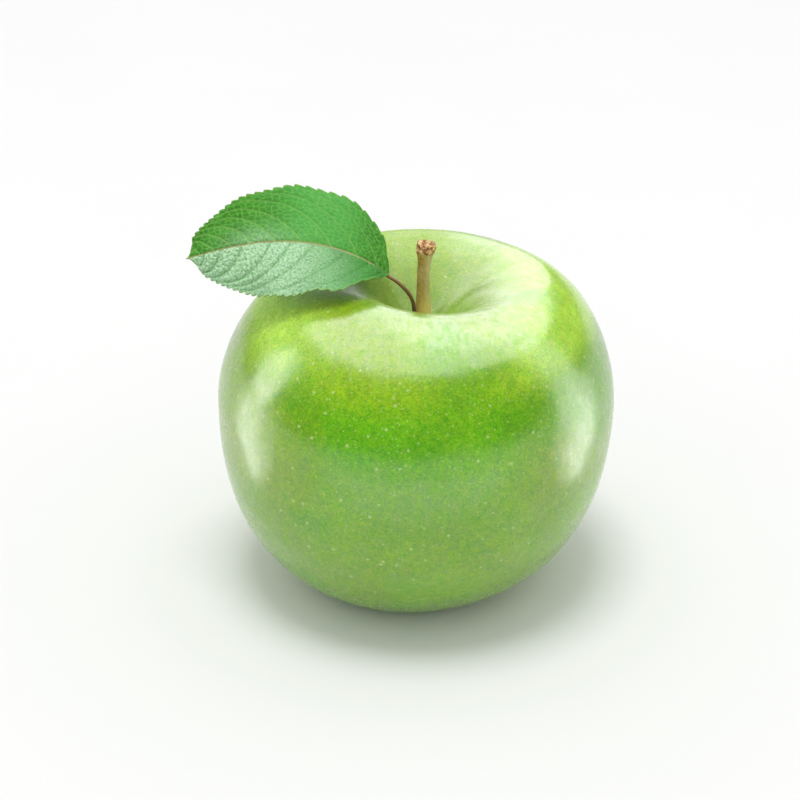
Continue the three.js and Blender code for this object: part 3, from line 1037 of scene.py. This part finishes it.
def make_sepal(index, material):
    """One dried sepal: a narrow pointed blade that closes in, then curls out at its tip."""
    rng = np.random.default_rng(SEED + index)
    columns = np.linspace(-1, 1, SEPAL_COLUMNS)
    share, across = np.meshgrid(np.linspace(0, 1, SEPAL_ROWS), columns, indexing="ij")
    turn = 2 * math.pi * (index + 0.5) / SEPALS + rng.uniform(-0.08, 0.08)
    curl = rng.uniform(2.3, 3.0)
    ring = SEPAL_RING - SEPAL_CLOSING * share + curl * share ** 2 + 0.25 * across ** 2 * share
    width = SEPAL_WIDTH * np.clip(1 - share ** 2.2, 0.02, 1) ** 0.9 * (1 + 0.06 * np.sin(share * 21 + index))
    angle = turn + across * width / 2 / SEPAL_RING
    hang = SEPAL_LENGTH * rng.uniform(0.9, 1.0) + 0.2
    height = basin_height(SEPAL_RING) + SEPAL_LIFT - hang * share
    middle = np.stack([BASE_AXIS_X + ring * np.cos(angle), ring * np.sin(angle), height], -1)
    crumple = bumps(middle, 1.1, 3) * 0.16 * np.clip(share * 4, 0, 1) - 0.10 * hill(across, 0.2)
    normal = grid_normals(middle)
    middle = middle + normal * crumple[..., None]
    half_thick = normal * (SEPAL_THICKNESS / 2 * (1 - 0.6 * np.abs(across) ** 3))[..., None]
    points, faces = shell(middle + half_thick, middle - half_thick)
    return outward(piece_from(f"sepal_blade_{index + 1}", place(points), faces, material))


STAMEN_SIZES = {
    "Ring": 0.95 * MM, "Length": 3.1 * MM, "Thickness": 0.13 * MM, "Anther": 0.27 * MM,
    "Lean": 0.32, "Count": 16,
}


def stamen_tree(material):
    """Dried stamens round a ring: thin leaning filaments, each with a shrivelled anther at its end."""
    tree, size = new_tree("Dried Stamens", STAMEN_SIZES)
    ring = add_node(tree, "GeometryNodeMeshCircle", {"Vertices": size["Count"], "Radius": size["Ring"]})
    filament = add_node(tree, "GeometryNodeMeshCone", {
        "Vertices": 7, "Side Segments": 6, "Radius Top": size["Thickness"] * 0.6,
        "Radius Bottom": size["Thickness"], "Depth": size["Length"],
    })
    anther = add_node(tree, "GeometryNodeMeshIcoSphere", {"Radius": size["Anther"], "Subdivisions": 2})
    lifted = add_node(tree, "GeometryNodeTransform", {
        "Geometry": out(tree, anther), "Translation": join(tree, 0.0, 0.0, size["Length"]),
        "Scale": (0.75, 0.75, 1.3),
    })
    one = add_node(tree, "GeometryNodeJoinGeometry")
    for part in (filament, lifted):
        tree.links.new(part.outputs[0], one.inputs[0])
    x, y, _z = split(tree, out(tree, add_node(tree, "GeometryNodeInputPosition")))
    lean = size["Lean"] + random_field(tree, -0.175, 0.25, SEED)
    many = add_node(tree, "GeometryNodeInstanceOnPoints", {
        "Points": out(tree, ring), "Instance": out(tree, one),
        "Rotation": join(tree, 0.0, lean, y.maths("ARCTAN2", x)),
        "Scale": join(tree, 1.0, 1.0, random_field(tree, 0.7, 1.0, SEED + 1)),
    })
    root = tuple(place((BASE_AXIS_X, 0.0, BASIN_FLOOR + 0.1)))
    hung = add_node(tree, "GeometryNodeTransform", {
        "Geometry": out(tree, many), "Translation": root, "Rotation": (math.pi, 0.0, 0.0),
    })
    end_tree(tree, out(tree, hung), material)
    return tree


def make_stamens():
    """The whole tuft, as one mesh."""
    material = dried_material("dried_stamens", (0.035, 0.02, 0.010), (0.14, 0.085, 0.04), 0.5)
    return grown("dried_stamens", stamen_tree(material), STAMEN_SIZES, material)


# ---------------- stage

VIEW_TARGET = WAIST + Vector((-3.17, 0.0, -1.32)) * MM
VIEW_ELEVATION = math.radians(28.0)
VIEW_DISTANCE = 0.42
VIEW_WIDTH = 0.1612
SENSOR_WIDTH = 36.0


def make_camera():
    """A long lens in front of the apple, looking down at it."""
    data = bpy.data.cameras.new("camera")
    data.sensor_width = SENSOR_WIDTH
    data.lens = SENSOR_WIDTH * VIEW_DISTANCE / VIEW_WIDTH
    data.clip_start, data.clip_end = 0.01, 50.0
    camera = add_object("camera", data)
    back = Vector((0.0, -math.cos(VIEW_ELEVATION), math.sin(VIEW_ELEVATION)))
    camera.location = VIEW_TARGET + back * VIEW_DISTANCE
    camera.rotation_euler = (-back).to_track_quat("-Z", "Y").to_euler()
    bpy.context.scene.camera = camera


def softbox(name, azimuth, elevation, distance, size, radiance, oval=False):
    """A panel that faces the fruit and shows only in reflections. Azimuth 0 is in front, 90 on the right."""
    data = bpy.data.lights.new(name, "AREA")
    data.shape = "ELLIPSE" if oval else "RECTANGLE"
    data.size, data.size_y = size
    area = size[0] * size[1] * (math.pi / 4 if oval else 1.0)
    data.energy = radiance * math.pi * area
    light = add_object(name, data)
    turn, rise = math.radians(azimuth), math.radians(elevation)
    way = Vector((math.sin(turn) * math.cos(rise), -math.cos(turn) * math.cos(rise), math.sin(rise)))
    light.location = WAIST + way * distance
    light.rotation_euler = way.to_track_quat("Z", "Y").to_euler()
    light.visible_diffuse = False
    light.visible_camera = False
    return light


def make_light_tent():
    """Even white light from all round, which colours the surfaces and shows in no reflection."""
    world = bpy.data.worlds.new("light_tent")
    bpy.context.scene.world = world
    world.use_nodes = True
    background = world.node_tree.nodes["Background"]
    background.inputs["Color"].default_value = (1.0, 1.0, 1.0, 1.0)
    background.inputs["Strength"].default_value = 0.78
    world.cycles_visibility.glossy = False


def make_lights():
    """Panels and small cards for the shine, and a soft light from above that gives only colour."""
    softbox("tent_roof", 172, 76, 0.6, (1.31, 1.31), 3.9, oval=True)
    softbox("tent_roof_side", 140, 68, 0.6, (0.5, 0.5), 1.9, oval=True)
    softbox("back_panel", -170, 19, 0.6, (0.62, 0.26), 2.5)
    softbox("left_panel", -100, 17, 0.6, (0.22, 0.38), 4.2, oval=True)
    softbox("right_panel", 94, 22, 0.6, (0.22, 0.56), 2.3)
    softbox("left_card", -84, -6, 0.084, (0.048, 0.066), 1.0, oval=True)
    softbox("left_card_middle", -84, -9, 0.082, (0.026, 0.048), 1.9, oval=True)
    softbox("right_card", 82, -5, 0.082, (0.050, 0.066), 1.3, oval=True)
    softbox("right_card_middle", 82, -9, 0.080, (0.028, 0.044), 1.8, oval=True)
    softbox("front_card", 0, -18, 0.090, (0.15, 0.024), 0.5)
    top_light = softbox("top_light", -30, 84, 2.0, (0.8, 0.8), 10.0, oval=True)
    top_light.visible_diffuse, top_light.visible_glossy = True, False


def make_table():
    """A wide flat table top at the level that the apple rests on."""
    half, level = 6.0, fruit_low.z
    corners = [(-half, -half, level), (half, -half, level), (half, half, level), (-half, half, level)]
    table = piece_from("table_top", corners, [(0, 1, 2, 3)], table_material())


# ---------------- assembly

def keep(piece, node):
    """The piece rides with the apple, and the node of the model given for it is hidden."""
    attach(piece, "root")
    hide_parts(node)


keep(make_fruit(), "fruit")
keep(make_stem(), "stem")
keep(make_blade(), "leaf")
keep(make_stalk(), "leaf")
sepal_look = dried_material("dried_sepal", (0.10, 0.062, 0.030), (0.30, 0.21, 0.11), 1.3)
for number in range(SEPALS):
    keep(make_sepal(number, sepal_look), f"sepal_{number + 1}")
keep(make_stamens(), "stamens")

make_table()
make_lights()
make_light_tent()
make_camera()
bpy.context.scene.view_settings.view_transform = "Standard"

bpy.context.view_layer.update()
